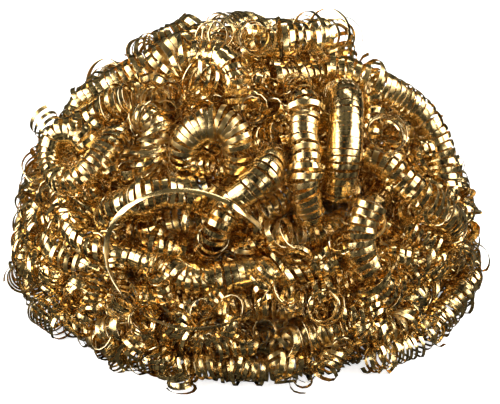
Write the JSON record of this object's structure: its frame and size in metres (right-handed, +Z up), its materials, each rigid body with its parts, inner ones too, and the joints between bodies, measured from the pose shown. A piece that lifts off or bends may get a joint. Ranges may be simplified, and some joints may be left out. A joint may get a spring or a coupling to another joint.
{
  "type": "soldering tip cleaning ball",
  "caption": "Domed ball of tangled, tightly curled brass ribbon coils for wiping hot soldering iron tips clean.",
  "frame": {"origin": "centre of the ball's outline, on the surface it rests on", "axes": "+Z up from the flat underside to the crown, -Y towards the side with the pulled-out ribbon, +X to the right as seen from that side"},
  "size_m": [0.062, 0.0654, 0.0367],
  "materials": {
    "brass": "bright"
  },
  "bodies": {
    "root": {"core_coil_1": "brass", "core_coil_2": "brass", "core_coil_3": "brass", "crown_back_coil": "brass", "crown_loop_coil": "brass", "diagonal_coil": "brass", "fan_coil": "brass", "inner_coil_1": "brass", "inner_coil_2": "brass", "inner_coil_3": "brass", "inner_coil_4": "brass", "inner_coil_5": "brass", "knot_coil": "brass", "lower_left_coil": "brass", "middle_coil_1": "brass", "middle_coil_2": "brass", "middle_coil_3": "brass", "middle_coil_4": "brass", "middle_coil_5": "brass", "middle_coil_6": "brass", "middle_coil_7": "brass", "open_end_coil": "brass", "outer_coil_1": "brass", "outer_coil_2": "brass", "outer_coil_3": "brass", "outer_coil_4": "brass", "outer_coil_5": "brass", "outer_coil_6": "brass", "pigtail_coil": "brass", "pulled_ribbon": "brass", "rim_coil_1": "brass", "rim_coil_2": "brass", "rim_coil_3": "brass", "shoulder_arch_coil": "brass", "side_coil": "brass", "tucked_coil_1": "brass", "tucked_coil_2": "brass", "tucked_coil_3": "brass", "tucked_coil_4": "brass", "underside_coil_1": "brass", "underside_coil_2": "brass", "underside_coil_3": "brass", "underside_coil_4": "brass", "upper_left_coil": "brass", "upper_rim_coil_1": "brass", "upper_rim_coil_2": "brass", "upper_rim_coil_3": "brass", "upright_coil": "brass", "waist_coil_1": "brass", "waist_coil_2": "brass", "waist_coil_3": "brass"}
  },
  "joints": []
}
